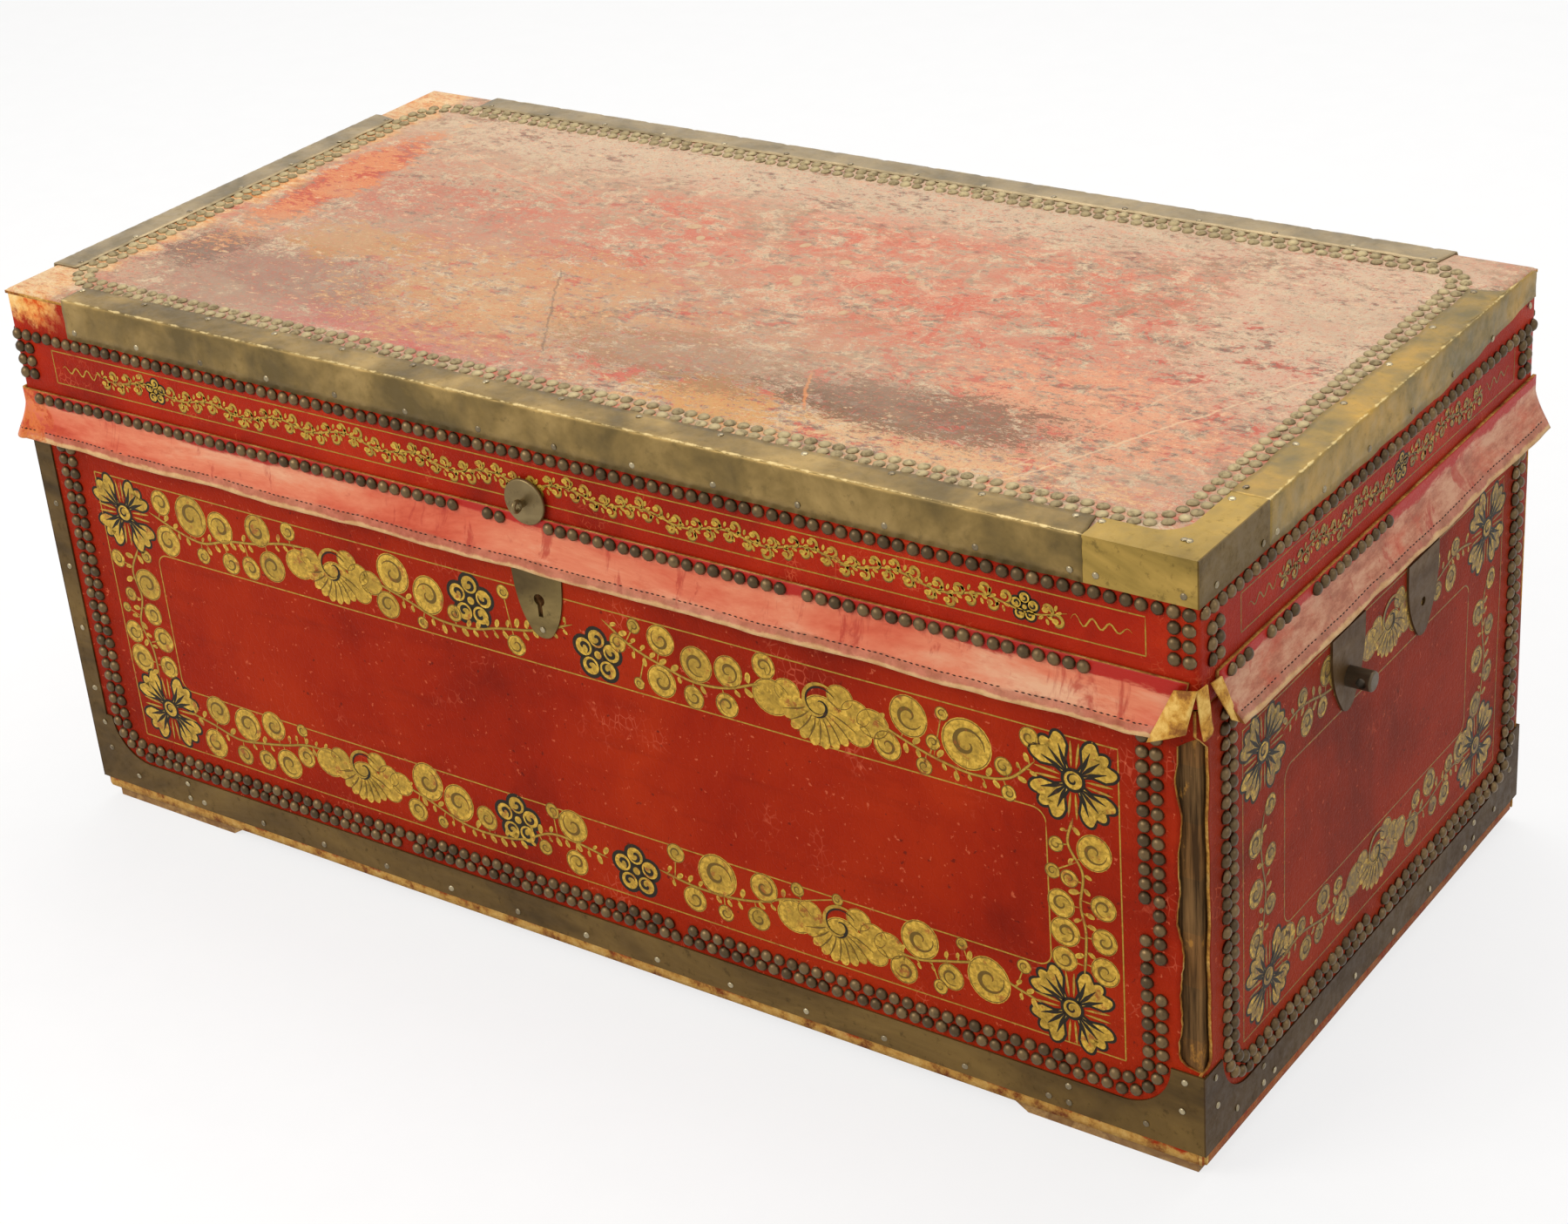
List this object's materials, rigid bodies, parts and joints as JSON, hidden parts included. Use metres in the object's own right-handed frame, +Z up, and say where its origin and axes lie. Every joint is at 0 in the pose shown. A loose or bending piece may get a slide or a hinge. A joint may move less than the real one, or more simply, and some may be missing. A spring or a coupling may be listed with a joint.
{
  "type": "leather covered brass bound trunk",
  "caption": "Low travelling trunk of thin boards covered in painted red leather, bound with brass strip and edged with rows of domed brass nails, with a hinged lid, a lock and end handles.",
  "frame": {"origin": "bottom centre of the whole chest's bounding box, on the floor", "axes": "+X from the chest's left to its right as seen from the front, +Y from front to back, +Z up; the front faces -Y"},
  "size_m": [0.95, 0.4732, 0.4087],
  "materials": {
    "wood": "bare sawn camphor board, dusty, waxed by age inside",
    "leather": "red lacquered pigskin, painted in gold, worn and scuffed to brown on top",
    "brass": "thin rolled brass, brown with age and rubbed bright on edges",
    "iron": "wrought lock parts, brown black"
  },
  "bodies": {
    "case": {"base_band_back": "brass", "base_band_front": "brass", "base_band_left": "brass", "base_band_right": "brass", "base_corner_back_left": "brass", "base_corner_back_right": "brass", "base_corner_front_left": "brass", "base_corner_front_right": "brass", "body_back_board": "wood", "body_front_board": "wood", "body_left_board": "wood", "body_right_board": "wood", "bottom_board": "wood", "case_pins": "brass", "case_screws": "brass", "corner_strip_back_left": "brass", "corner_strip_front_left": "brass", "escutcheon": "brass", "handle_nuts": "brass", "handle_plates_left": "brass", "handle_plates_right": "brass", "handle_posts_left": "brass", "handle_posts_right": "brass", "hinge_left_body_leaf": "brass", "hinge_pins": "brass", "hinge_right_body_leaf": "brass", "leather_back": "leather", "leather_front": "leather", "leather_left": "leather", "leather_right": "leather", "lock_case": "iron", "nails_body": "brass", "skid_left": "wood", "skid_right": "wood"},
    "lid": {"hinge_left_lid_leaf": "brass", "hinge_right_lid_leaf": "brass", "lid_back_board": "wood", "lid_corner_cap": "brass", "lid_front_board": "wood", "lid_leather_band": "leather", "lid_leather_top": "leather", "lid_left_board": "wood", "lid_pins": "brass", "lid_right_board": "wood", "lid_rose": "brass", "lid_screws": "brass", "lid_strip_back": "brass", "lid_strip_front": "brass", "lid_strip_left": "brass", "lid_strip_right": "brass", "lid_top_board": "wood", "nails_lid": "brass", "nails_lid_top": "brass", "ring_eye": "brass", "skirt_front": "leather", "skirt_left": "leather", "skirt_right": "leather", "staple_plate": "iron"},
    "bail": {"bail_left": "brass"},
    "lock_bolt": {"lock_bolt": "iron"}
  },
  "joints": [
    {"name": "lid_hinge", "type": "hinge", "parent": "case", "child": "lid", "pos_m": [0, 0.2326, 0.3165], "axis": [-1, 0, 0], "range_deg": [0, 100]},
    {"name": "bail_swing", "type": "hinge", "parent": "case", "child": "bail", "pos_m": [-0.469, 0.0114, 0.248], "axis": [0, 1, 0], "range_deg": [0, 100]},
    {"name": "lock_slide", "type": "slide", "parent": "case", "child": "lock_bolt", "axis": [1, 0, 0], "range_m": [0, 0.009]}
  ]
}
